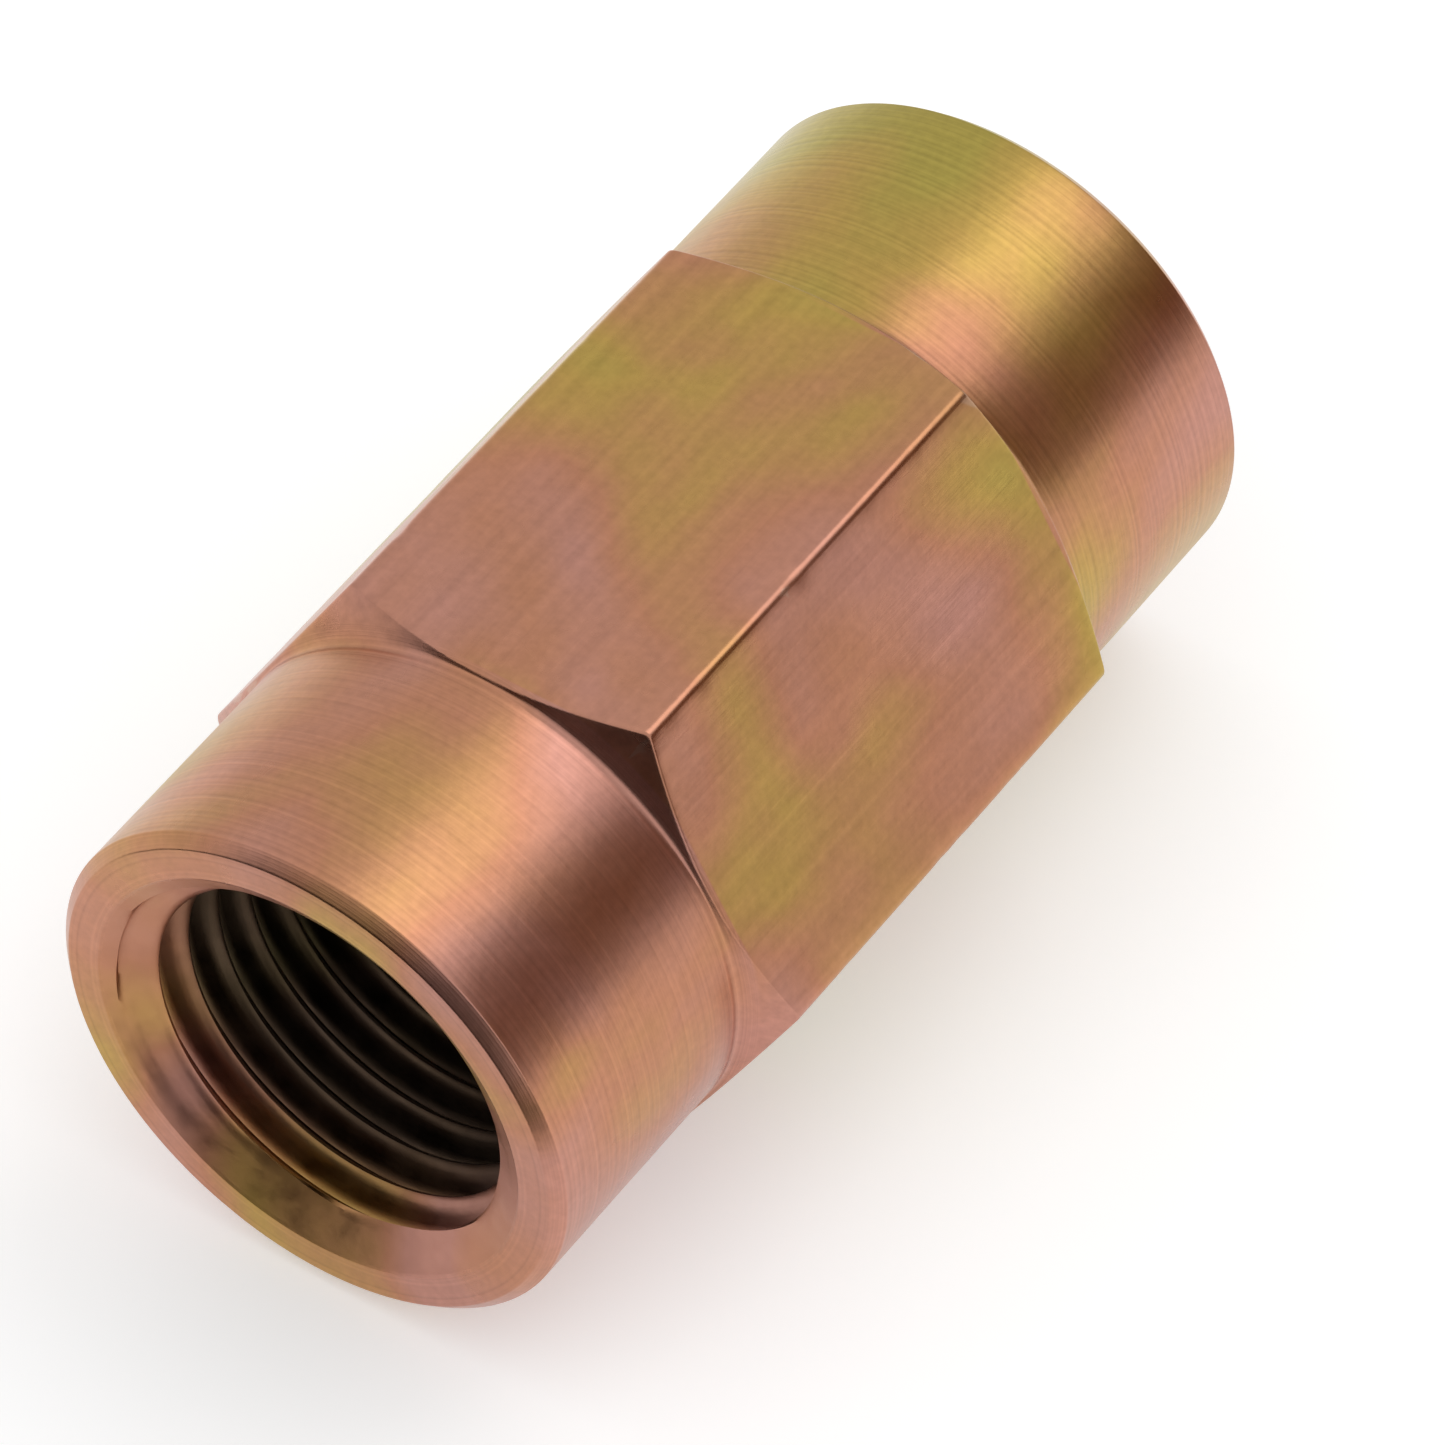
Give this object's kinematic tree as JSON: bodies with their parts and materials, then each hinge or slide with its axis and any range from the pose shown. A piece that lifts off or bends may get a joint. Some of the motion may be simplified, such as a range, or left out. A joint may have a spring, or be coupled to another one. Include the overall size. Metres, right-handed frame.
{
  "type": "reducing pipe coupling",
  "caption": "Hexagon-bar pipe coupling with round necks, joining a larger taper-threaded pipe to a smaller one in line.",
  "frame": {"origin": "on the bore axis, halfway between the two end faces", "axes": "+Y along the bore axis towards the small end, +Z square to the top wrench flat, +X towards a hexagon corner"},
  "size_m": [0.0196, 0.034, 0.017],
  "materials": {
    "plated_steel": "turned steel with iridescent yellow zinc chromate plating"
  },
  "bodies": {
    "root": {"coupling_body": "plated_steel"}
  },
  "joints": []
}
